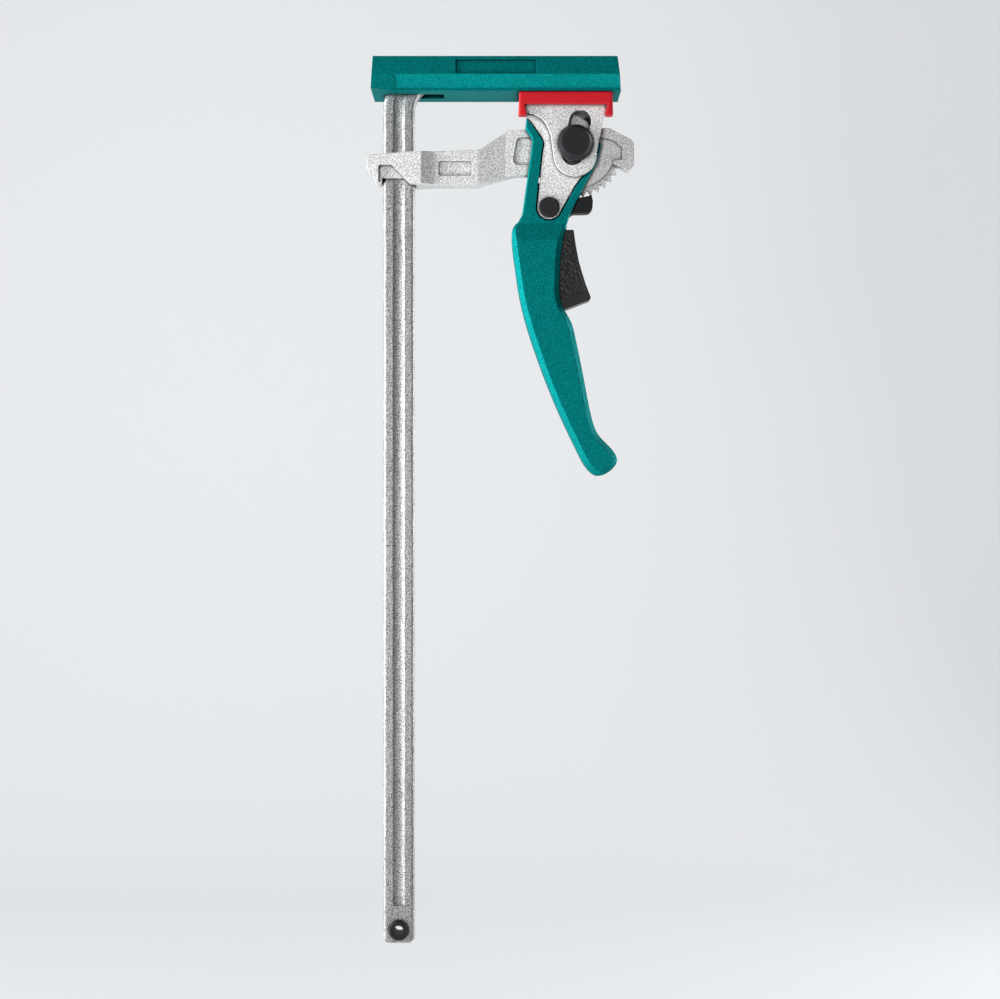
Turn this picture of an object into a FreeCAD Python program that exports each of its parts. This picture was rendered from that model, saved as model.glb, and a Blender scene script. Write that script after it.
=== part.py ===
import FreeCAD, Part
import math
import os

os.makedirs("parts", exist_ok=True)

# Lever bar clamp, upright, jaw on top. The origin is the middle of the fixed jaw's
# clamping face, over the pressure cap. +Z runs up along the rail, +X away from it.

# Fits
overrun = 2.0
gap = 0.35
turning_fit = 0.05
seat_gap = 0.3

# Rail
throat = 80.0
rail_width = 16.8
rail_thickness = 8.0
rail_corner = 2.0
groove_width = 6.4
groove_depth = 0.9
bend_inside = 12.3
tang_lift = 4.0
tang_length = 8.0
end_chamfer = 2.2
groove_stop = 7.5
arm_travel = 391.0

# Stop pin
stop_radius = 5.2
stop_bore = 2.8
stop_proud = 2.6
stop_margin = 1.6
stop_rounding = 0.7

# Fixed jaw
jaw_height = 17.0
jaw_back_overhang = 5.5
jaw_nose = 29.3
jaw_nose_draft = 2.2
jaw_heel_draft = 1.0
shoulder_depth = 18.0
shoulder_height = 7.3
band_lean = 1.0
face_depth = 12.0
lip_height = 1.5
runout_start = 13.3
runout_length = 12.0
jaw_roof = 2.5
socket_length = 15.6
socket_half = 4.5
panel_length = 42.0
panel_height = 7.3
panel_from_nose = 15.7
panel_rise = 7.9
panel_depth = 0.9
panel_rounding = 0.8

# Axle and its fittings
axle_x = 5.2
axle_drop = 27.4
axle_radius = 5.4
knob_radius = 9.4
knob_face_radius = 7.3
knob_height = 5.0
knob_edge = 2.2
knob_foot = 0.6
bush_wall = 2.0
washer_thickness = 1.1
washer_radius = 9.4
spacer_radius = 8.8
circlip_thickness = 1.0
circlip_groove = 0.6
circlip_radius = 8.2
circlip_mouth = 5.0
axle_tail = 1.2

# Sliding arm
arm_half = 3.6
panel_half = 5.8
collar_half = 9.0
collar_wall = 7.8
collar_top = 33.2
collar_depth = 14.8
arm_thin = 0.9
web_relief = 2.0
arm_panel_depth = 0.8
arm_panel_length = 17.5
arm_panel_height = 7.7
collar_round = 1.2
collar_slope = 2.1
collar_band = 5.0
flange_width = 3.7
flange_run = 6.0
web_lift = 3.2
web_slope = 2.1
claw_width = 3.6
claw_lift = 0.8
claw_step = 2.7
relief_inset = 2.0
relief_run = 9.8

# Toothed sector on the arm
tip_radius = 27.0
tooth_height = 3.2
rim_width = 1.6
rim_drop = 1.9
first_tooth = 33.7
tooth_pitch = 9.26
steep_flank = 3.0
tooth_count = 8
back_steps = 4
hook_edge = 24.3

# Lever
plate_thickness = 3.0
plate_inner = 4.0
cheek_half = 7.4
cheek_chamfer = 0.7
grip_half = 9.0
grip_chamfer = 2.6
grip_ramp = 9.0
notch_gap = 0.8
core_half = 3.95
handle_length = 175.4
cam_base = 5.5
cam_height = 17.0
cam_steps = 5
nose_reach = 25.4
nose_height = 2.2
nose_rounding = 0.55
rivet_clear = 8.9
rivet_angle = 112.4
rivet_radius = 3.0
rivet_head_radius = 5.4
rivet_head_height = 1.6
plate_end_radius = 6.2
lever_open = 43.0

# Trigger and pawl
pin_clear = 16.8
pin_angle = 101.5
pin_radius = 2.0
pawl_half = 3.2
pawl_boss = 4.5
pawl_tip_angle = 70.5
pawl_heel_angle = 98.0
pawl_rivet_radius = 1.2
pawl_lug_radius = 2.3
trigger_length = 44.6
trigger_half = 5.2
fork_radius = 3.6
trigger_pocket_half = 5.6
trigger_panel_depth = 0.3
pin_reach = 7.0
spring_half = 3.0
spring_thickness = 0.8

# Pressure piece and cap
slot_tilt = 13.0
slot_half = 5.75
slot_up = 12.35
slot_down = 5.9
side_plate_inner = 7.7
side_plate_thickness = 3.0
bridge_thickness = 3.1
boss_radius = 11.5
boss_drop = 5.6
cap_left = 24.9
cap_right = 25.3
cap_half = 12.8
cap_height = 6.6
cap_rounding = 1.6
cap_edge = 1.0
pad_height = 2.6
tab_drop = 6.0
tab_gap = 0.2
tab_rounding = 0.9
tab_flare = 1.2
cap_draft = 0.6
pad_inset = 0.8

# Outlines drawn by hand, as shares of the size that they follow: right of and above
# a centre, and the corner's radius. The arm and the cam plates are drawn about the axle.
arm_step_shares = [(-0.629, -0.029, 0.10), (-0.436, 0.108, 0.10)]
arm_foot_shares = [(-0.396, -0.192, 0.06), (-0.642, -0.258, 0.10)]
arm_head_start_share = -0.461
hook_top_shares = [(0.678, 0.359, 0.07), (1.093, 0.144, 0.07), (1.170, 0.067, 0.05)]
hook_low_shares = [(1.170, -0.378, 0.09), (1.081, -0.481, 0.03)]
recess_shares = [(-1.126, 0.178, 0.11), (-1.230, -0.367, 0.11), (0, -0.367, 0),
                 (0.750, -0.281, 0.04), (0.937, -0.259, 0.05), (0.937, -0.019, 0.11),
                 (0.748, 0.126, 0.11), (0.522, 0.181, 0.15)]
recess_fan_shares = [(-0.815, 0.148), (-0.822, -0.367), (-1.111, -1.111), (0, -1.481),
                     (1.230, -0.830), (0.593, 0.148)]
cam_left_shares = [(-0.626, -0.148, 0.10), (-0.593, 0.037, 0.18), (-0.630, 0.133, 0.18)]
cam_right_shares = [(0.296, 0.356, 0.04), (0.452, 0.126, 0.14), (0.410, -0.190, 0.20),
                    (0.272, -0.440, 0.15), (-0.004, -0.800, 0.40)]

# The lever's head is drawn about the axle, its neck and grip about the trigger's pin,
# and its tail about the foot of the trigger's pocket.
head_left_shares = [(-0.948, 0.553, 0.039), (-0.974, 0.325, 0.065), (-0.832, 0.117, 0.182),
                    (-0.858, -0.110, 0.325)]
head_low_shares = [(-0.433, 0.125, 0.118), (-0.536, -0.052, 0.039), (-0.477, -0.249, 0),
                   (0.038, -0.249, 0), (0.066, -0.092, 0), (0.141, 0.156, 0.393)]
head_right_shares = [(0.162, -0.851, 0), (0.429, -0.351, 0.325), (0.526, 0.013, 0.065),
                     (0.370, 0.188, 0.039)]
grip_left_shares = [(-0.496, 0.030), (-0.544, -0.037), (-0.555, -0.135), (-0.528, -0.391),
                    (-0.492, -0.650), (-0.445, -0.914)]
tail_share = (-0.15, -1.1)
tail_shares = [(-0.088, -0.146), (-0.032, -0.306), (0.088, -0.603), (0.214, -0.868),
               (0.258, -0.945), (0.328, -1.000), (0.406, -0.973), (0.454, -0.903),
               (0.422, -0.834), (0.334, -0.739), (0.290, -0.622), (0.235, -0.344),
               (0.191, -0.130)]
grip_right_shares = [(0.141, -1.118), (0.038, -0.933), (0.011, -0.650), (0.035, -0.261),
                     (0.097, 0.030)]
pocket_top_shares = [(1.146, 0.989, 0), (0.238, 0.989, 0), (-0.013, 0.383, 0.104),
                     (-0.305, 0.247, 0.104)]
pocket_foot_shares = [(-0.123, -0.123, 0.118), (-0.292, -1.051, 0.039), (0.432, -1.051, 0)]
trigger_shares = [(-0.095, -0.044, 0), (0.184, -0.040, 0.016), (0.200, -0.162, 0.197),
                  (0.219, -0.280, 0.197), (0.247, -0.422, 0.197), (0.282, -0.544, 0.197),
                  (0.330, -0.697, 0.197), (0.396, -0.866, 0.031), (0.050, -1.000, 0.031),
                  (-0.009, -0.847, 0.197), (-0.064, -0.414, 0.197), (-0.095, -0.099, 0)]
trigger_panel_shares = [(0.060, -0.080, 0.01), (0.150, -0.080, 0.01), (0.168, -0.162, 0.197),
                        (0.187, -0.280, 0.197), (0.215, -0.422, 0.197),
                        (0.250, -0.544, 0.197), (0.298, -0.697, 0.197),
                        (0.322, -0.770, 0.02), (-0.030, -0.905, 0.01)]
pawl_shares = [(1.104, 0.822, 0.07), (1.079, 0.442, 0.214), (0.436, 0.430, 0.209),
               (0.290, 0.258, 0.104), (0.207, -0.181, 0), (-0.148, 0.049, 0),
               (0.071, 0.425, 0.104), (0.186, 0.676, 0.104)]
pawl_lug_share = (0, -0.292)
spring_shares = [(-0.255, -0.925), (-0.160, -0.394), (-0.032, -0.827)]

# The pressure piece is drawn about the axle, in its boss's radius
pressure_left_shares = [(-2.304, 1.783, 0), (-2.14, 1.42, 0.10), (-1.92, 1.39, 0.20),
                        (-1.40, 1.08, 0.80), (-1.12, 0.42, 0.90), (-1.0, -0.45, 0)]
pressure_right_shares = [(1.0, -0.45, 0), (1.10, 0.15, 0.50), (1.28, 1.07, 0.50),
                         (1.461, 1.783, 0)]

axle = FreeCAD.Vector(axle_x, 0, -axle_drop)
root_radius = tip_radius - tooth_height
rim_radius = root_radius - rim_width
side_plate_outer = side_plate_inner + side_plate_thickness
rail_inner = -throat
rail_outer = -(throat + rail_width)
rail_middle = -(throat + rail_width / 2)
collar_bottom = collar_top + collar_depth
stop_drop = collar_bottom + arm_travel + gap + stop_radius
rail_bottom = stop_drop + stop_radius + stop_margin
cap_bottom = seat_gap + cap_height


def vec(x, y, z):
    return FreeCAD.Vector(x, y, z)


def from_axle(points):
    """Points given right of and above the axle, as places in the part."""
    return [(axle_x + p[0], -axle_drop + p[1]) + tuple(p[2:]) for p in points]


def spots(centre, shares, size):
    """Places in the part for points given as shares of a size, right of and above a centre."""
    places = []
    for share in shares:
        lengths = [size * value for value in share]
        places.append((centre.x + lengths[0], centre.z + lengths[1]) + tuple(lengths[2:]))
    return places


def place(centre, share, size):
    across, up = spots(centre, [share], size)[0]
    return vec(across, 0, up)


def rounded_wire(corners):
    """A closed wire in the front view whose corners are (x, z, radius)."""
    edges = []
    ends = []
    count = len(corners)
    for i in range(count):
        before = vec(corners[i - 1][0], 0, corners[i - 1][1])
        here = vec(corners[i][0], 0, corners[i][1])
        after = vec(corners[(i + 1) % count][0], 0, corners[(i + 1) % count][1])
        radius = corners[i][2] if len(corners[i]) > 2 else 0
        back = (before - here).normalize()
        on = (after - here).normalize()
        half = math.acos(max(-1, min(1, back.dot(on)))) / 2
        if radius == 0 or half > math.pi / 2 * 0.998:
            ends.append((here, here, None))
            continue
        room = min((before - here).Length, (after - here).Length) / 2
        reach = min(radius / math.tan(half), room)
        radius = reach * math.tan(half)
        middle = here + (back + on).normalize() * (radius / math.sin(half) - radius)
        ends.append((here + back * reach, here + on * reach, middle))
    for i in range(count):
        start, end, middle = ends[i]
        if middle is not None:
            edges.append(Part.Arc(start, middle, end).toShape())
        following = ends[(i + 1) % count][0]
        if (following - end).Length > 1e-6 * throat:
            edges.append(Part.LineSegment(end, following).toShape())
    return Part.Wire(edges)


def plate_of(wire, low_y, high_y):
    """A flat plate with the given front view, from low_y to high_y."""
    face = Part.Face(wire)
    face.translate(vec(0, low_y, 0))
    return face.extrude(vec(0, high_y - low_y, 0))


def plate(corners, low_y, high_y):
    return plate_of(rounded_wire(corners), low_y, high_y)


def plan_prism(corners, low_z, high_z):
    """A prism with the given plan, whose corners are (x, y, radius)."""
    solid = plate(corners, low_z, high_z)
    solid.rotate(vec(0, 0, 0), vec(1, 0, 0), 90)
    return solid


def box(low, high):
    return Part.makeBox(high[0] - low[0], high[1] - low[1], high[2] - low[2], vec(*low))


def disc(centre, radius, low_y, high_y):
    """A round bar along Y."""
    start = vec(centre.x, low_y, centre.z)
    return Part.makeCylinder(radius, high_y - low_y, start, vec(0, 1, 0))


def both_sides(solid):
    """The solid and its mirror image in the rail's middle plane."""
    return solid.fuse(solid.mirror(vec(0, 0, 0), vec(0, 1, 0)))


def polar(radius, angle_below):
    """A point about the axle, at an angle below the way that points away from the rail."""
    turn = math.radians(angle_below)
    return (radius * math.cos(turn), -radius * math.sin(turn))


def rail_section(grooved):
    """The rail's cross-section in plan: a flat bar with a shallow groove in each wide face."""
    half_w = rail_width / 2
    half_t = rail_thickness / 2
    half_g = groove_width / 2
    edges = []
    rim = rail_corner * (1 - math.sqrt(0.5))
    for side in (1, -1):
        right = vec(rail_middle + side * half_w, 0, 0)
        start = right + vec(0, -side * (half_t - rail_corner), 0)
        end = right + vec(0, side * (half_t - rail_corner), 0)
        corner_end = vec(right.x - side * rail_corner, side * half_t, 0)
        corner_middle = vec(right.x - side * rim, side * (half_t - rim), 0)
        edges.append(Part.LineSegment(start, end).toShape())
        edges.append(Part.Arc(end, corner_middle, corner_end).toShape())
        far_corner = vec(rail_middle - side * (half_w - rail_corner), side * half_t, 0)
        if grooved:
            near = vec(rail_middle + side * half_g, side * half_t, 0)
            floor = vec(rail_middle, side * (half_t - groove_depth), 0)
            far = vec(rail_middle - side * half_g, side * half_t, 0)
            edges.append(Part.LineSegment(corner_end, near).toShape())
            edges.append(Part.Arc(near, floor, far).toShape())
            edges.append(Part.LineSegment(far, far_corner).toShape())
        else:
            edges.append(Part.LineSegment(corner_end, far_corner).toShape())
        far_middle = vec(rail_middle - side * (half_w - rim), side * (half_t - rim), 0)
        far_end = vec(rail_middle - side * half_w, side * (half_t - rail_corner), 0)
        edges.append(Part.Arc(far_corner, far_middle, far_end).toShape())
    return Part.Face(Part.Wire(edges))


def make_rail():
    """A profiled steel bar, bent over at its top into the jaw, with its tang forged lower."""
    bend_z = tang_lift - bend_inside
    bend_x = rail_inner + bend_inside
    groove_end = -(stop_drop - stop_radius - groove_stop)
    section = rail_section(True)
    section.translate(vec(0, 0, groove_end))
    grooved = section.extrude(vec(0, 0, bend_z - groove_end))
    foot_section = rail_section(False)
    foot_section.translate(vec(0, 0, -rail_bottom))
    foot = foot_section.extrude(vec(0, 0, groove_end + rail_bottom))
    left, right, low = rail_outer, rail_inner, -rail_bottom
    trim = plate(
        [(left, low + end_chamfer), (left + end_chamfer, low), (right - end_chamfer, low),
         (right, low + end_chamfer), (right, 0), (left, 0)],
        -rail_thickness, rail_thickness)
    foot = foot.common(trim)
    bend_section = rail_section(True)
    bend_section.translate(vec(0, 0, bend_z))
    bend = bend_section.revolve(vec(bend_x, 0, bend_z), vec(0, 1, 0), 90)
    tang_section = bend_section.copy()
    tang_section.rotate(vec(bend_x, 0, bend_z), vec(0, 1, 0), 90)
    tang = tang_section.extrude(vec(tang_length, 0, 0))
    rail = foot.fuse([grooved, bend, tang])
    top = jaw_height - jaw_roof
    rail = rail.common(box(
        (rail_outer - overrun, -rail_thickness, -rail_bottom - overrun),
        (bend_x + tang_length + overrun, rail_thickness, top)))
    pin_hole = disc(vec(rail_middle, 0, -stop_drop), stop_radius, -rail_thickness, rail_thickness)
    return rail.cut(pin_hole).removeSplitter()


def make_stop_pin():
    """A black tubular pin pressed through the rail's foot, proud on both sides."""
    reach = rail_thickness / 2 + stop_proud
    profile = [(stop_bore, -reach, 0), (stop_radius - stop_rounding, -reach, 0),
               (stop_radius, -reach + stop_rounding, 0), (stop_radius, reach - stop_rounding, 0),
               (stop_radius - stop_rounding, reach, 0), (stop_bore, reach, 0)]
    return turned(profile, vec(rail_middle, 0, -stop_drop))


def turned(profile, centre):
    """A part turned about an axle along Y, from its (radius, y) outline."""
    points = [vec(centre.x + p[0], p[1], centre.z) for p in profile]
    face = Part.Face(Part.makePolygon(points + [points[0]]))
    return face.revolve(centre, vec(0, 1, 0), 360)


def make_jaw(rail):
    """The teal jaw casting, with a chamfered shoulder that runs out at its heel."""
    heel = rail_outer - jaw_back_overhang
    lean = shoulder_depth - band_lean
    section = [(-lean, jaw_height), (lean, jaw_height), (shoulder_depth, shoulder_height),
               (face_depth, lip_height), (face_depth, 0), (-shoulder_depth, 0),
               (-shoulder_depth, shoulder_height)]
    points = [vec(heel - overrun, p[0], p[1]) for p in section]
    blank = Part.Face(Part.makePolygon(points + [points[0]]))
    blank = blank.extrude(vec(jaw_nose - heel + 2 * overrun, 0, 0))
    front_view = plate(
        [(heel, 0), (heel + jaw_heel_draft, jaw_height),
         (jaw_nose - jaw_nose_draft, jaw_height), (jaw_nose, 0)],
        -shoulder_depth - overrun, shoulder_depth + overrun)
    jaw = blank.common(front_view)
    start = heel + runout_start
    share = lip_height / shoulder_height
    far = jaw_nose + overrun
    outer = [(start - runout_length, 0), (far, 0), (far, shoulder_height), (start, shoulder_height)]
    inner = [(start - runout_length * share, 0), (far, 0), (far, lip_height), (start, lip_height)]
    wires = []
    for y, outline in ((-shoulder_depth, outer), (-face_depth, inner)):
        ring = [vec(p[0], y, p[1]) for p in outline]
        wires.append(Part.makePolygon(ring + [ring[0]]))
    jaw = jaw.cut(Part.makeLoft(wires, True, True))
    socket = box((rail_inner, -socket_half, -overrun),
                 (rail_inner + socket_length, socket_half, tang_lift))
    jaw = jaw.cut(socket).cut(rail)
    right = -panel_from_nose
    low, high = panel_rise, panel_rise + panel_height
    panel = plate(
        [(right - panel_length, low, panel_rounding), (right - panel_length, high, panel_rounding),
         (right, high, panel_rounding), (right, low, panel_rounding)],
        -shoulder_depth - overrun, -shoulder_depth)
    lean_angle = math.degrees(math.atan2(band_lean, jaw_height - shoulder_height))
    panel.translate(vec(0, panel_depth, 0))
    panel.rotate(vec(0, -shoulder_depth, shoulder_height), vec(1, 0, 0), -lean_angle)
    return jaw.cut(panel)


def make_arm():
    """The sliding arm: collar round the rail, stepped bar, and a head with a toothed sector."""
    heel = rail_outer - gap - collar_wall
    top, low = -collar_top, -collar_bottom
    inner = rail_inner + gap
    web_low = low + web_lift
    step = spots(axle, arm_step_shares, throat)
    foot = spots(axle, arm_foot_shares, throat)
    hook_top = spots(axle, hook_top_shares, tip_radius)
    hook_low = spots(axle, hook_low_shares, tip_radius)
    teeth = [polar(root_radius, hook_edge + steep_flank / 2)]
    for k in range(tooth_count):
        tip = first_tooth + tooth_pitch * k
        teeth.append(polar(tip_radius, tip))
        teeth.append(polar(root_radius, tip + steep_flank))
    drop = -foot[0][1] - axle_drop
    lean_in = math.degrees(math.asin(drop / root_radius))
    last = first_tooth + tooth_pitch * (tooth_count - 1) + steep_flank
    for n in range(back_steps):
        angle = last + (180 - lean_in - last) * (n + 1) / back_steps
        teeth.append(polar(root_radius, angle))
    corners = [(heel, top, collar_round), (inner, top + collar_slope, collar_round)]
    corners += step + hook_top + hook_low + from_axle(teeth) + foot
    corners += [(rail_inner - web_slope, low, collar_round),
                (rail_inner - web_slope - web_lift, web_low, collar_round),
                (rail_outer, web_low, 0), (rail_outer - gap, low + claw_lift, claw_lift),
                (rail_outer - claw_width, low + claw_lift, collar_round),
                (heel + claw_step, low + collar_depth / 2, collar_round),
                (heel, low + collar_depth / 2, collar_round)]
    front_view = plate(corners, -collar_half - overrun, collar_half + overrun)
    flange, panel_end = rail_inner + flange_width, foot[1][0]
    head_start = axle_x + throat * arm_head_start_share
    far = axle_x + 2 * tip_radius
    half_plan = [(heel - overrun, collar_half, 0), (flange, collar_half, collar_round),
                 (flange + flange_run, panel_half, panel_half),
                 (panel_end, panel_half, panel_half), (head_start, arm_half, arm_half),
                 (far, arm_half, 0)]
    plan = half_plan + [(p[0], -p[1], p[2]) for p in reversed(half_plan)]
    arm = front_view.common(plan_prism(plan, low - overrun - tip_radius, 0))
    arm = arm.cut(box((rail_outer - gap, -rail_thickness / 2 - gap, low - overrun),
                      (rail_inner + gap, rail_thickness / 2 + gap, 0)))
    relief_top = top - collar_band
    relief_left = rail_outer - relief_inset
    relief = plate(
        [(relief_left, relief_top, collar_round),
         (rail_inner - web_slope - relief_run, relief_top, collar_round),
         (rail_inner - web_slope, low, 0), (rail_inner, low - overrun, 0),
         (relief_left, low - overrun, 0)],
        -collar_half - overrun, -collar_half + web_relief)
    arm = arm.cut(both_sides(relief))
    recess = plate(spots(axle, recess_shares, tip_radius), -arm_half - overrun, -arm_half + arm_thin)
    fan = plate(spots(axle, recess_fan_shares, tip_radius), -arm_half - overrun, -arm_half + arm_thin)
    fan = fan.common(disc(axle, rim_radius, -arm_half - overrun, -arm_half + arm_thin))
    arm = arm.cut(both_sides(recess)).cut(both_sides(fan)).cut(both_sides(rim_cut()))
    middle = (flange + flange_run + panel_end) / 2
    panel_mid = (top + low) / 2 + collar_slope / 2
    half_l, half_h = arm_panel_length / 2, arm_panel_height / 2
    bare = plate(
        [(middle - half_l, panel_mid - half_h, collar_round),
         (middle - half_l, panel_mid + half_h, collar_round),
         (middle + half_l, panel_mid + half_h, collar_round),
         (middle + half_l, panel_mid - half_h, collar_round)],
        -panel_half - overrun, -panel_half + arm_panel_depth)
    arm = arm.cut(bare)
    return arm.cut(disc(axle, axle_radius + bush_wall, -collar_half, collar_half))


def ring(inner, outer, low_y, high_y):
    return disc(axle, outer, low_y, high_y).cut(disc(axle, inner, low_y, high_y))


def rim_cut():
    """What is cut from the front of the sector's rim, so that the teeth lie lower."""
    reach = 2 * tip_radius
    wedge = [(0, 0), polar(reach, hook_edge), polar(reach, 2 * hook_edge), polar(reach, 90)]
    rim = plate(from_axle(wedge), -arm_half - overrun, -arm_half + rim_drop)
    return rim.cut(disc(axle, rim_radius, -arm_half - overrun, -arm_half + rim_drop))


def make_axle_pin():
    """A blackened pin with a large chamfered head in front and a clip groove at its tail."""
    head = side_plate_outer + gap
    clip = side_plate_outer + gap + washer_thickness
    tail = clip + circlip_thickness + axle_tail
    groove = axle_radius - circlip_groove
    profile = [(0, -head - knob_height), (knob_face_radius, -head - knob_height),
               (knob_radius - knob_foot, -head - knob_height + knob_edge),
               (knob_radius, -head - knob_height + knob_edge + knob_foot),
               (knob_radius, -head - knob_foot), (knob_radius - knob_foot, -head),
               (axle_radius, -head), (axle_radius, clip), (groove, clip),
               (groove, clip + circlip_thickness), (axle_radius, clip + circlip_thickness),
               (axle_radius, tail - knob_foot), (axle_radius - knob_foot, tail), (0, tail)]
    return turned(profile, axle)


def make_circlip():
    """An open spring ring in the axle's groove."""
    low = side_plate_outer + gap + washer_thickness
    clip = ring(axle_radius - circlip_groove, circlip_radius, low, low + circlip_thickness)
    half = circlip_mouth / 2
    mouth = box((axle_x - half, low - overrun, -axle_drop - 2 * circlip_radius),
                (axle_x + half, low + overrun, -axle_drop))
    return clip.cut(mouth)


def make_spacers():
    """Two thin washers between the cam plates and the pressure piece."""
    low = plate_inner + plate_thickness + turning_fit
    return both_sides(ring(axle_radius, spacer_radius, low, side_plate_inner - turning_fit))


def cam_point(turn):
    """A point of the involute cam edge, which the lever brings under the flange at a turn."""
    height = cam_height - cam_base * turn
    across = -cam_base * math.cos(turn) + height * math.sin(turn)
    up = cam_base * math.sin(turn) + height * math.cos(turn)
    return (across, up)


def beyond_teeth(clear, angle_below):
    """A place about the axle, clear of the sector's teeth."""
    across, up = polar(tip_radius + clear, angle_below)
    return axle + vec(across, 0, up)


def rivet_place():
    return beyond_teeth(rivet_clear, rivet_angle)


def pin_place():
    return beyond_teeth(pin_clear, pin_angle)


def pawl_rivet_place():
    return place(pin_place(), pawl_lug_share, pin_clear)


def round_end(right, centre, radius, left):
    """Two corners that carry an outline round a centre, between a point each side above it."""
    normals = []
    for point, side in ((right, -1), (left, 1)):
        across, up = point[0] - centre.x, point[1] - centre.z
        lean = math.acos(radius / math.hypot(across, up))
        normals.append(math.atan2(up, across) + side * lean)
    last, first = normals[0] % math.tau, normals[1] % math.tau
    first, last = (first, last) if first < last else (first, last + math.tau)
    turn = (last - first) / 2
    reach = radius / math.cos(turn / 2)
    corners = []
    for angle in (last - turn / 2, first + turn / 2):
        corners.append((centre.x + reach * math.cos(angle), centre.z + reach * math.sin(angle), radius))
    return corners


def cam_wire():
    """The cam plate's front view: nose, cam edge, hub round the axle and riveted tail."""
    full = math.radians(lever_open)
    cam = [cam_point(full * n / cam_steps) for n in range(cam_steps + 1)]
    left = spots(axle, cam_left_shares, tip_radius)
    right = spots(axle, cam_right_shares, tip_radius)
    low = cam_height - nose_height
    nose = [(nose_height - nose_reach, low - nose_height, nose_height),
            (-nose_reach, low, nose_rounding), (-nose_reach, cam_height, nose_rounding)]
    tail = round_end(right[-1], rivet_place(), plate_end_radius, left[0])
    return rounded_wire(from_axle(cam) + right + tail + left + from_axle(nose))


def make_cam_plate():
    """A silver plate with the cam edge that lifts the pressure piece."""
    near = -plate_inner
    solid = plate_of(cam_wire(), near - plate_thickness, near)
    solid = solid.cut(disc(axle, axle_radius + turning_fit, -grip_half, 0))
    return solid.cut(disc(rivet_place(), rivet_radius, -grip_half, 0))


def curve_through(points):
    curve = Part.BSplineCurve()
    curve.interpolate([vec(p[0], 0, p[1]) for p in points])
    return curve.toShape()


def make_handle():
    """The teal lever casting: two cheeks over the arm, and a bevelled grip."""
    pin = pin_place()
    tail_start = place(pin, tail_share, trigger_length)
    tail_length = tail_start.z + axle_drop + handle_length
    left = spots(pin, grip_left_shares, trigger_length)
    tail = spots(tail_start, tail_shares, tail_length)
    right = spots(pin, grip_right_shares, trigger_length)
    top_edge = Part.LineSegment(
        vec(right[-1][0], 0, right[-1][1]), vec(left[0][0], 0, left[0][1])).toShape()
    outline = Part.Wire([curve_through(left + tail + right), top_edge])
    grip = plate_of(outline, -grip_half, grip_half)
    rims = [e for e in grip.Edges if abs(abs(e.CenterOfMass.y) - grip_half) < grip_half / 100
            and e.CenterOfMass.z < left[1][1]]
    grip = grip.makeChamfer(grip_chamfer, rims).cut(both_sides(grip_ramp_cut(left[0][1])))
    handle = make_cheeks(pin).fuse(grip)
    notch = cam_wire().makeOffset2D(notch_gap)
    handle = handle.cut(both_sides(plate_of(notch, -grip_half - overrun, -core_half)))
    swept = disc(axle, tip_radius + gap, -core_half, core_half)
    arm_low = spots(axle, arm_foot_shares, throat)[0][1] - gap
    arm_way = box((axle_x - 2 * tip_radius, -core_half, arm_low),
                  (axle_x + tip_radius, core_half, 0))
    handle = handle.cut(swept.fuse(arm_way))
    pocket_outline = (spots(pin, pocket_top_shares, pin_clear)
                      + spots(pin, pocket_foot_shares, trigger_length))
    pocket = plate(pocket_outline, -trigger_pocket_half, trigger_pocket_half)
    fork_top = pin.z + pawl_boss + gap
    upper = box((axle_x - handle_length, -trigger_pocket_half, fork_top),
                (axle_x + handle_length, trigger_pocket_half, 0))
    narrow = plate(pocket_outline, -core_half, core_half)
    handle = handle.cut(pocket.cut(upper)).cut(narrow)
    handle = handle.cut(disc(rivet_place(), rivet_radius, -grip_half, grip_half))
    return handle.cut(disc(pin, pin_radius, -pin_reach, pin_reach))


def make_cheeks(pin):
    """The lever's two cheeks as one plate, with a small bevel round their edges."""
    cheeks = plate(spots(axle, head_left_shares, tip_radius)
                   + spots(pin, head_low_shares, trigger_length)
                   + spots(axle, head_right_shares, tip_radius), -cheek_half, cheek_half)
    rims = [e for e in cheeks.Edges if abs(abs(e.CenterOfMass.y) - cheek_half) < cheek_half / 100]
    return cheeks.makeChamfer(cheek_chamfer, rims)


def grip_ramp_cut(top):
    """What is cut from the grip's front at its top, so that it slopes down to the cheek."""
    outside = -grip_half - overrun
    profile = [(-cheek_half, top), (-grip_half, top - grip_ramp), (outside, top - grip_ramp),
               (outside, top + overrun), (-cheek_half, top + overrun)]
    points = [vec(axle_x - handle_length, y, z) for y, z in profile]
    return Part.Face(Part.makePolygon(points + [points[0]])).extrude(vec(2 * handle_length, 0, 0))


def make_cam_rivet():
    """The black rivet that ties both cam plates to the handle."""
    head = plate_inner + plate_thickness
    out = head + rivet_head_height
    edge = rivet_head_height / 3
    profile = [(0, -out), (rivet_head_radius - edge, -out), (rivet_head_radius, -out + edge),
               (rivet_head_radius, -head), (rivet_radius, -head), (rivet_radius, head),
               (rivet_head_radius, head), (rivet_head_radius, out - edge),
               (rivet_head_radius - edge, out), (0, out)]
    return turned(profile, rivet_place())


def make_trigger():
    """The black release trigger, forked at its top round the pawl."""
    pin = pin_place()
    blade = plate(spots(pin, trigger_shares, trigger_length), -trigger_half, trigger_half)
    blade = blade.fuse(disc(pin, fork_radius, -trigger_half, trigger_half))
    rivet = pawl_rivet_place()
    fork = box((pin.x - 3 * pawl_boss, -pawl_half, rivet.z - pawl_lug_radius - gap),
               (pin.x + 3 * pawl_boss, pawl_half, 0))
    panel = plate(spots(pin, trigger_panel_shares, trigger_length),
                  -trigger_half - overrun, -trigger_half + trigger_panel_depth)
    blade = blade.cut(fork).cut(both_sides(panel))
    blade = blade.cut(disc(rivet, pawl_rivet_radius, -trigger_half, trigger_half))
    return blade.cut(disc(pin, pin_radius + turning_fit, -trigger_half, trigger_half))


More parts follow.
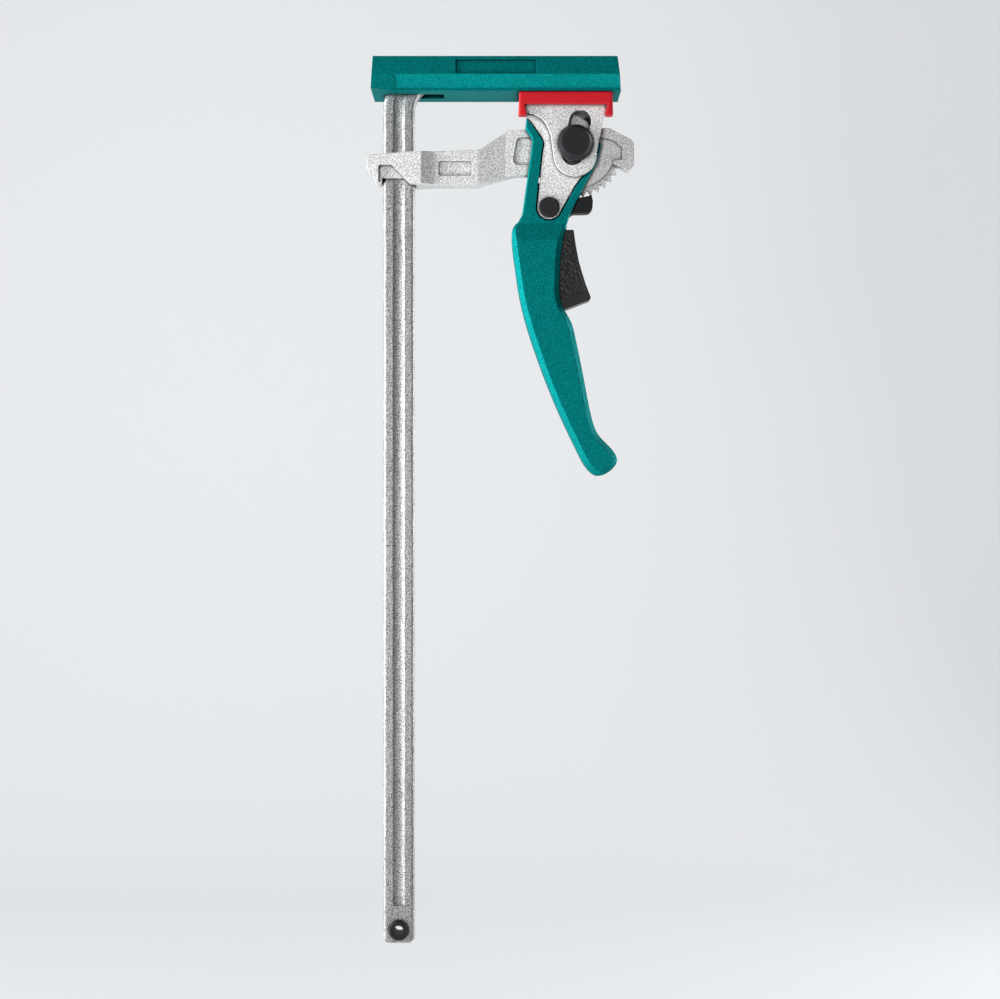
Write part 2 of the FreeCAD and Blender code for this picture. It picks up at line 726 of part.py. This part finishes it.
def make_pawl():
    """The hardened pawl, keyed into the trigger's fork, just clear of the teeth."""
    top = tip_radius + gap
    jaws = from_axle([polar(top, pawl_heel_angle), polar(top, pawl_tip_angle)])
    solid = plate(jaws + spots(pin_place(), pawl_shares, pin_clear), -pawl_half, pawl_half)
    solid = solid.fuse(disc(pin_place(), pawl_boss, -pawl_half, pawl_half))
    lug = disc(pawl_rivet_place(), pawl_lug_radius, -pawl_half, pawl_half)
    solid = solid.fuse(lug)
    solid = solid.cut(disc(axle, top, -pawl_half, pawl_half))
    solid = solid.cut(disc(pawl_rivet_place(), pawl_rivet_radius, -pawl_half, pawl_half))
    return solid.cut(disc(pin_place(), pin_radius + turning_fit, -pawl_half, pawl_half))


def strip(points, thickness, half_width):
    """A bent strip of spring steel along points in the front view."""
    solid = None
    for i in range(len(points) - 1):
        start = vec(points[i][0], 0, points[i][1])
        end = vec(points[i + 1][0], 0, points[i + 1][1])
        along = (end - start).normalize()
        side = vec(-along.z, 0, along.x) * (thickness / 2)
        ring_points = [start + side, end + side, end - side, start - side]
        run = plate([(p.x, p.z) for p in ring_points], -half_width, half_width)
        run = run.fuse(disc(end, thickness / 2, -half_width, half_width))
        solid = run if solid is None else solid.fuse(run)
    return solid


def pressure_frame():
    """The slot's direction, from its foot to its top."""
    tilt = math.radians(slot_tilt)
    return vec(math.sin(tilt), 0, math.cos(tilt))


def make_pressure_piece():
    """A silver saddle: a slotted plate each side of the lever, and the bridge over them."""
    top = -cap_bottom
    left = spots(axle, pressure_left_shares, boss_radius)
    right = spots(axle, pressure_right_shares, boss_radius)
    left[0] = (left[0][0], top, 0)
    right[-1] = (right[-1][0], top, 0)
    outer, inner = -side_plate_outer, -side_plate_inner
    cheek = plate(right + left, outer, inner)
    boss = vec(axle_x, 0, -axle_drop - boss_drop)
    cheek = cheek.fuse(disc(boss, boss_radius, outer, inner))
    low, high = axle - pressure_frame() * slot_down, axle + pressure_frame() * slot_up
    across = vec(pressure_frame().z, 0, -pressure_frame().x) * slot_half
    sides = [low + across, high + across, high - across, low - across]
    slot = plate([(p.x, p.z) for p in sides], outer - overrun, inner + overrun)
    slot = slot.fuse([disc(low, slot_half, outer - overrun, inner + overrun),
                      disc(high, slot_half, outer - overrun, inner + overrun)])
    cheeks = both_sides(cheek.cut(slot))
    bridge = box((left[0][0] + tab_flare, outer, top - bridge_thickness),
                 (right[-1][0] - tab_flare, side_plate_outer, top))
    pad = box((left[0][0] + pad_inset, outer, top),
              (right[-1][0] - pad_inset, side_plate_outer, top + pad_height))
    return cheeks.fuse([bridge, pad]).removeSplitter()


def make_cap():
    """The red protective cap over the bridge, with a leg down at each front corner."""
    top, foot = -seat_gap, -cap_bottom - tab_drop
    left, right = -cap_left, cap_right
    saddle_left = axle_x + boss_radius * pressure_left_shares[0][0]
    saddle_right = axle_x + boss_radius * pressure_right_shares[-1][0]
    inner_left, inner_right = saddle_left - tab_gap, saddle_right + tab_gap
    front_view = plate(
        [(left + cap_draft, top, 0), (right - cap_draft, top, 0), (right, foot, tab_rounding),
         (inner_right - tab_flare, foot, tab_rounding), (inner_right, -cap_bottom, 0),
         (inner_left, -cap_bottom, 0), (inner_left + tab_flare, foot, tab_rounding),
         (left, foot, tab_rounding)],
        -cap_half, cap_half)
    plan = [(left, -cap_half, cap_rounding), (right, -cap_half, cap_rounding),
            (right, cap_half, cap_rounding), (left, cap_half, cap_rounding)]
    cap = front_view.common(plan_prism(plan, foot, top))
    rims = [e for e in cap.Edges if abs(e.CenterOfMass.z - top) < cap_rounding / 100]
    cap = cap.makeFillet(cap_edge, rims)
    seat = box((saddle_left + pad_inset, -side_plate_outer, -cap_bottom),
               (saddle_right - pad_inset, side_plate_outer, -cap_bottom + pad_height))
    behind_legs = box((left - overrun, -side_plate_inner, foot - overrun),
                      (right + overrun, cap_half + overrun, -cap_bottom))
    return cap.cut(seat).cut(behind_legs).removeSplitter()


def save(shape, name):
    solids = shape.Solids
    volume = sum(s.Volume for s in solids)
    print(name, len(solids), "solid", round(volume), "mm3", "valid" if shape.isValid() else "BAD")
    result = solids[0] if len(solids) == 1 else Part.makeCompound(solids)
    result.exportStep("parts/" + name + ".step")


rail = make_rail()
save(rail, "rail")
save(make_stop_pin(), "stop_pin")
save(make_jaw(rail), "fixed_jaw")
save(make_arm(), "sliding_arm")
save(ring(axle_radius, axle_radius + bush_wall, -arm_half, arm_half), "arm_bush")
save(make_axle_pin(), "axle_pin")
washer_low = side_plate_outer + gap
save(ring(axle_radius, washer_radius, washer_low, washer_low + washer_thickness), "axle_washer")
save(make_circlip(), "axle_circlip")
save(make_spacers(), "spacer_washers")
front_plate = make_cam_plate()
save(front_plate, "cam_plate_front")
save(front_plate.mirror(vec(0, 0, 0), vec(0, 1, 0)), "cam_plate_rear")
save(make_handle(), "handle")
save(make_cam_rivet(), "cam_rivet")
save(disc(pin_place(), pin_radius, -pin_reach, pin_reach), "trigger_pin")
save(make_trigger(), "trigger")
save(make_pawl(), "pawl")
save(disc(pawl_rivet_place(), pawl_rivet_radius, -trigger_half, trigger_half), "pawl_rivet")
leaf = spots(pin_place(), spring_shares, trigger_length)
save(strip(leaf, spring_thickness, spring_half), "trigger_spring")
save(make_pressure_piece(), "pressure_piece")
save(make_cap(), "pressure_cap")
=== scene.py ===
import math

import bpy
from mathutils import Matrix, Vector

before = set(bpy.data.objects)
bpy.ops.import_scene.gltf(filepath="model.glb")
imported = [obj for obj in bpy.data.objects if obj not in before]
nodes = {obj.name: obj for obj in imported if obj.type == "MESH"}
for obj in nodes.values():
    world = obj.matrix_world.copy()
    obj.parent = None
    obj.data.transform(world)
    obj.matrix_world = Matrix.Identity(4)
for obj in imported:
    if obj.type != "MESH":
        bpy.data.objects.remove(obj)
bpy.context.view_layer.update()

# The studio: a camera level with the middle of the rail, straight in front of the clamp, a
# pale sweep behind and below it, a tall soft box on each side, a weak one beside the camera
# and a wide one low in front. Round the camera the room stays dim, so the metal has depth.
scene = bpy.context.scene
scene.view_settings.view_transform = "Standard"
CAMERA_PLACE = Vector((-0.0345, -0.860, -0.2155))
CAMERA_LENS = 57.9
CAMERA_SENSOR = 36
LEVEL_TURN = (math.radians(90), 0, 0)
SWEEP_FLOOR = -0.62
SWEEP_BACK = 1.25
SWEEP_ROUND = 0.50
SWEEP_ROUND_STEPS = 12
SWEEP_HALF = 3.0
SWEEP_FRONT = -0.2
SWEEP_TOP = 1.5
SWEEP_COLOUR = (0.30, 0.305, 0.31, 1)
SWEEP_ROUGHNESS = 0.9
SWEEP_GLOW = 0.62
ROOM_COLOUR = (0.86, 0.88, 0.90, 1)
ROOM_GLOW = 0.25
ROOM_LIGHT = 0.10
LAMP_TARGET = Vector((-0.03, 0, -0.16))

camera_data = bpy.data.cameras.new("camera")
camera_data.lens = CAMERA_LENS
camera_data.sensor_width = CAMERA_SENSOR
camera_data.sensor_fit = "HORIZONTAL"
camera = bpy.data.objects.new("camera", camera_data)
camera.location = CAMERA_PLACE
camera.rotation_euler = LEVEL_TURN
scene.collection.objects.link(camera)
scene.camera = camera


def link(owner, output, target):
    owner.node_tree.links.new(output, target)


def plain_shader(name, colour, roughness, metallic=0.0):
    """A material with one shader, whose node tree the finishes below add to."""
    material = bpy.data.materials.new(name)
    material.use_nodes = True
    shader = material.node_tree.nodes["Principled BSDF"]
    shader.inputs["Base Color"].default_value = colour
    shader.inputs["Roughness"].default_value = roughness
    shader.inputs["Metallic"].default_value = metallic
    return material, shader


def sweep_mesh():
    """Floor, rounded corner and back wall as one strip."""
    profile = [(SWEEP_FRONT, SWEEP_FLOOR)]
    for step in range(SWEEP_ROUND_STEPS + 1):
        turn = math.radians(90) * step / SWEEP_ROUND_STEPS
        profile.append((SWEEP_BACK - SWEEP_ROUND + SWEEP_ROUND * math.sin(turn),
                        SWEEP_FLOOR + SWEEP_ROUND - SWEEP_ROUND * math.cos(turn)))
    profile.append((SWEEP_BACK, SWEEP_TOP))
    verts = [(side * SWEEP_HALF, y, z) for y, z in profile for side in (-1, 1)]
    faces = [(2 * i, 2 * i + 1, 2 * i + 3, 2 * i + 2) for i in range(len(profile) - 1)]
    mesh = bpy.data.meshes.new("sweep")
    mesh.from_pydata(verts, [], faces)
    for face in mesh.polygons:
        face.use_smooth = True
    return mesh


def seen_glow(owner, strength, rest):
    """A strength for what the camera, metal and glass see alike, and the rest for all else."""
    tree = owner.node_tree
    path = tree.nodes.new("ShaderNodeLightPath")
    seen = path.outputs["Is Camera Ray"]
    for kind in ("Is Glossy Ray", "Is Transmission Ray"):
        either = tree.nodes.new("ShaderNodeMath")
        either.operation = "MAXIMUM"
        link(owner, seen, either.inputs[0])
        link(owner, path.outputs[kind], either.inputs[1])
        seen = either.outputs["Value"]
    glow = tree.nodes.new("ShaderNodeMapRange")
    glow.inputs["To Min"].default_value = rest
    glow.inputs["To Max"].default_value = strength
    link(owner, seen, glow.inputs["Value"])
    return glow.outputs["Result"]


def sweep_paper():
    """Pale paper with an even glow."""
    material, shader = plain_shader("sweep paper", SWEEP_COLOUR, SWEEP_ROUGHNESS)
    shader.inputs["Emission Color"].default_value = ROOM_COLOUR
    link(material, seen_glow(material, SWEEP_GLOW, 0), shader.inputs["Emission Strength"])
    return material


sweep = bpy.data.objects.new("sweep", sweep_mesh())
scene.collection.objects.link(sweep)
sweep.data.materials.append(sweep_paper())

world = bpy.data.worlds.new("studio")
world.use_nodes = True
room = world.node_tree.nodes["Background"]
room.inputs["Color"].default_value = ROOM_COLOUR
link(world, seen_glow(world, ROOM_GLOW, ROOM_LIGHT), room.inputs["Strength"])
scene.world = world


def soft_lamp(name, towards, distance, width, height, level):
    """A soft box round the clamp; at level 1 a face square to it renders as it is painted."""
    lamp = bpy.data.lights.new(name, "AREA")
    lamp.shape = "RECTANGLE"
    lamp.size = width
    lamp.size_y = height
    lamp.energy = level * (math.pi * distance) ** 2
    holder = bpy.data.objects.new(name, lamp)
    direction = Vector(towards).normalized()
    holder.location = LAMP_TARGET + direction * distance
    holder.rotation_euler = direction.to_track_quat("Z", "Y").to_euler()
    scene.collection.objects.link(holder)


soft_lamp("left box", (-0.96, -0.26, 0.05), distance=1.3, width=0.35, height=1.5, level=2.0)
soft_lamp("front key", (-0.30, -0.95, -0.05), distance=1.8, width=0.4, height=0.4, level=0.35)
soft_lamp("low box", (0.05, -0.42, -0.90), distance=1.4, width=0.9, height=0.4, level=0.65)
soft_lamp("right rim", (0.90, 0.42, 0.10), distance=1.0, width=0.2, height=1.2, level=1.2)

# The rail: a cold drawn bar with a shallow groove down each wide face, bent over into
# the jaw at its top. It is blasted and nickel plated, so it glitters with a coarse grain.
GRAIN_TURN = (0.6, 0.35, 0.5)
GRAIN_DETAIL = 3
GRAIN_ROUGHNESS = 0.6
EDGE_SAMPLES = 6
SPECKLE_FROM = 0.40
SPECKLE_TO = 0.58
CREASE_SAMPLES = 8
MIX_COLOUR_A = 6
MIX_COLOUR_B = 7
MIX_COLOUR_RESULT = 2


def grain(material, shader, scale, strength, distance, edge):
    """A fine grain, turned out of line with the flat faces, over edges that look rounded."""
    tree = material.node_tree
    place = tree.nodes.new("ShaderNodeTexCoord")
    turned = tree.nodes.new("ShaderNodeMapping")
    turned.inputs["Rotation"].default_value = GRAIN_TURN
    noise = tree.nodes.new("ShaderNodeTexNoise")
    noise.inputs["Scale"].default_value = scale
    noise.inputs["Detail"].default_value = GRAIN_DETAIL
    noise.inputs["Roughness"].default_value = GRAIN_ROUGHNESS
    rounding = tree.nodes.new("ShaderNodeBevel")
    rounding.samples = EDGE_SAMPLES
    rounding.inputs["Radius"].default_value = edge
    bump = tree.nodes.new("ShaderNodeBump")
    bump.inputs["Strength"].default_value = strength
    bump.inputs["Distance"].default_value = distance
    link(material, place.outputs["Object"], turned.inputs["Vector"])
    link(material, turned.outputs["Vector"], noise.inputs["Vector"])
    link(material, noise.outputs["Fac"], bump.inputs["Height"])
    link(material, rounding.outputs["Normal"], bump.inputs["Normal"])
    link(material, bump.outputs["Normal"], shader.inputs["Normal"])
    return noise, bump


def speckle(material, shader, noise, dark, light):
    """Lets the grain also speckle the colour."""
    ramp = material.node_tree.nodes.new("ShaderNodeValToRGB")
    ramp.color_ramp.elements[0].position = SPECKLE_FROM
    ramp.color_ramp.elements[1].position = SPECKLE_TO
    ramp.color_ramp.elements[0].color = dark
    ramp.color_ramp.elements[1].color = light
    link(material, noise.outputs["Fac"], ramp.inputs["Fac"])
    link(material, ramp.outputs["Color"], shader.inputs["Base Color"])


def painted_crease_shade(material, shader, reach, closed_at, open_at, left):
    """Painted shade: darkens the colour where it is closed in within a reach, down to the share
    of the colour left.
    """
    tree = material.node_tree
    colour = shader.inputs["Base Color"].links[0].from_socket
    openness = tree.nodes.new("ShaderNodeAmbientOcclusion")
    openness.samples = CREASE_SAMPLES
    openness.inputs["Distance"].default_value = reach
    shade = tree.nodes.new("ShaderNodeMapRange")
    shade.inputs["From Min"].default_value = closed_at
    shade.inputs["From Max"].default_value = open_at
    shade.inputs["To Min"].default_value = left
    shade.inputs["To Max"].default_value = 1
    mix = tree.nodes.new("ShaderNodeMix")
    mix.data_type = "RGBA"
    mix.blend_type = "MULTIPLY"
    mix.inputs["Factor"].default_value = 1
    link(material, openness.outputs["AO"], shade.inputs["Value"])
    link(material, colour, mix.inputs[MIX_COLOUR_A])
    link(material, shade.outputs["Result"], mix.inputs[MIX_COLOUR_B])
    link(material, mix.outputs[MIX_COLOUR_RESULT], shader.inputs["Base Color"])


def finish_nodes(names, material):
    for name in names:
        nodes[name].data.materials.clear()
        nodes[name].data.materials.append(material)


plated_rail, shader = plain_shader("plated rail", (0.60, 0.60, 0.60, 1),
                                   roughness=0.34, metallic=0.9)
noise, _ = grain(plated_rail, shader, scale=1800, strength=0.8, distance=0.0004, edge=0.0005)
speckle(plated_rail, shader, noise, dark=(0.10, 0.10, 0.11, 1), light=(0.62, 0.62, 0.61, 1))
# Painted shade: the rail's colour is darkened in its creases and where other parts close in on
# it.
painted_crease_shade(plated_rail, shader, reach=0.0025, closed_at=0.35, open_at=0.9, left=0.1)
finish_nodes(["rail"], plated_rail)

# The stop pin: a short black tube pressed through the rail's foot, so that the arm
# can't come off. Its rims are rounded over.
black_oxide, shader = plain_shader("black oxide", (0.012, 0.012, 0.014, 1), roughness=0.55)
shader.inputs["Specular IOR Level"].default_value = 0.25
noise, _ = grain(black_oxide, shader, scale=2200, strength=0.25, distance=0.0002, edge=0.0003)
speckle(black_oxide, shader, noise, dark=(0.008, 0.008, 0.010, 1), light=(0.017, 0.017, 0.020, 1))
finish_nodes(["stop_pin"], black_oxide)

# The fixed jaw: a light metal casting on the bent end of the rail, powder coated teal
# with a fine orange peel.
teal_coat, shader = plain_shader("teal powder coat", (0.001, 0.17, 0.17, 1),
                                 roughness=0.46, metallic=0.5)
shader.inputs["Specular IOR Level"].default_value = 0.08
shader.inputs["Specular Tint"].default_value = (0.08, 0.80, 0.80, 1)
noise, _ = grain(teal_coat, shader, scale=1600, strength=0.7, distance=0.0003, edge=0.0006)
speckle(teal_coat, shader, noise, dark=(0.0008, 0.12, 0.122, 1), light=(0.0023, 0.235, 0.235, 1))
# Painted shade at two reaches: thin dark lines at creases and steps, and deep shade in sockets,
# slots and under neighbouring parts.
painted_crease_shade(teal_coat, shader, reach=0.0025, closed_at=0.35, open_at=0.95, left=0.08)
painted_crease_shade(teal_coat, shader, reach=0.012, closed_at=0.3, open_at=0.75, left=0)
finish_nodes(["fixed_jaw"], teal_coat)

# The sliding arm: a silver light metal casting, bead blasted all over, whose collar slides
# on the rail. A bush of oiled bronze is pressed into its head for the axle.
blasted_silver, shader = plain_shader("blasted silver", (0.80, 0.80, 0.80, 1),
                                      roughness=0.46, metallic=0.3)
noise, _ = grain(blasted_silver, shader, scale=1500, strength=0.8, distance=0.0004, edge=0.0006)
speckle(blasted_silver, shader, noise, dark=(0.47, 0.47, 0.47, 1), light=(0.98, 0.98, 0.97, 1))
# Painted shade at two reaches: thin dark lines at creases and steps, and deep shade in cavities,
# the slot and beside the lever's cheeks.
painted_crease_shade(blasted_silver, shader, reach=0.0022, closed_at=0.4, open_at=0.95, left=0.08)
painted_crease_shade(blasted_silver, shader, reach=0.025, closed_at=0.2, open_at=0.55, left=0)
finish_nodes(["sliding_arm"], blasted_silver)
bronze, shader = plain_shader("oiled bronze", (0.50, 0.31, 0.13, 1), roughness=0.35, metallic=1)
grain(bronze, shader, scale=3000, strength=0.3, distance=0.0002, edge=0.0002)
finish_nodes(["arm_bush"], bronze)

# The axle and what it carries: a black oxide pin with a wide chamfered head, held at the
# back by a zinc plated washer and an open clip, with a thin washer each side of the lever.
finish_nodes(["axle_pin"], black_oxide)
zinc, shader = plain_shader("zinc plate", (0.66, 0.67, 0.69, 1), roughness=0.28, metallic=1)
grain(zinc, shader, scale=900, strength=0.15, distance=0.0002, edge=0.0002)
finish_nodes(["axle_washer", "spacer_washers"], zinc)
spring_steel, shader = plain_shader("spring steel", (0.16, 0.16, 0.17, 1),
                                    roughness=0.35, metallic=1)
grain(spring_steel, shader, scale=1800, strength=0.2, distance=0.0002, edge=0.0002)
finish_nodes(["axle_circlip"], spring_steel)

# The lever: a powder coated casting between two blasted steel cam plates. A black rivet
# ties the plates to the casting at the foot of its notch.
finish_nodes(["cam_plate_front", "cam_plate_rear"], blasted_silver)
finish_nodes(["handle"], teal_coat)
finish_nodes(["cam_rivet"], black_oxide)

# The release: a black cast trigger, riveted to a hardened pawl and turning with it on one
# pin, with a leaf spring behind. Only the recesses in its sides are pebbled: they lie
# nearer the middle than the rims round them.
PEBBLED_WITHIN = 0.0051
trigger_black, shader = plain_shader("trigger black", (0.007, 0.007, 0.008, 1), roughness=0.36)
_, bump = grain(trigger_black, shader, scale=650, strength=1, distance=0.0009, edge=0.0003)
tree = trigger_black.node_tree
place = tree.nodes.new("ShaderNodeTexCoord")
split = tree.nodes.new("ShaderNodeSeparateXYZ")
from_middle = tree.nodes.new("ShaderNodeMath")
from_middle.operation = "ABSOLUTE"
recessed = tree.nodes.new("ShaderNodeMath")
recessed.operation = "LESS_THAN"
recessed.inputs[1].default_value = PEBBLED_WITHIN
link(trigger_black, place.outputs["Object"], split.inputs["Vector"])
link(trigger_black, split.outputs["Y"], from_middle.inputs[0])
link(trigger_black, from_middle.outputs["Value"], recessed.inputs[0])
link(trigger_black, recessed.outputs["Value"], bump.inputs["Strength"])
finish_nodes(["trigger"], trigger_black)
finish_nodes(["trigger_pin", "pawl"], black_oxide)
finish_nodes(["pawl_rivet"], zinc)
finish_nodes(["trigger_spring"], spring_steel)

# The pressure piece: a silver saddle that rides on the cam edges, under a soft red cap
# that is pushed over it and spares the work.
finish_nodes(["pressure_piece"], blasted_silver)
red_cap, shader = plain_shader("red cap", (0.60, 0.010, 0.018, 1), roughness=0.40)
shader.inputs["Specular IOR Level"].default_value = 0.25
grain(red_cap, shader, scale=1200, strength=0.2, distance=0.0003, edge=0.0010)
finish_nodes(["pressure_cap"], red_cap)
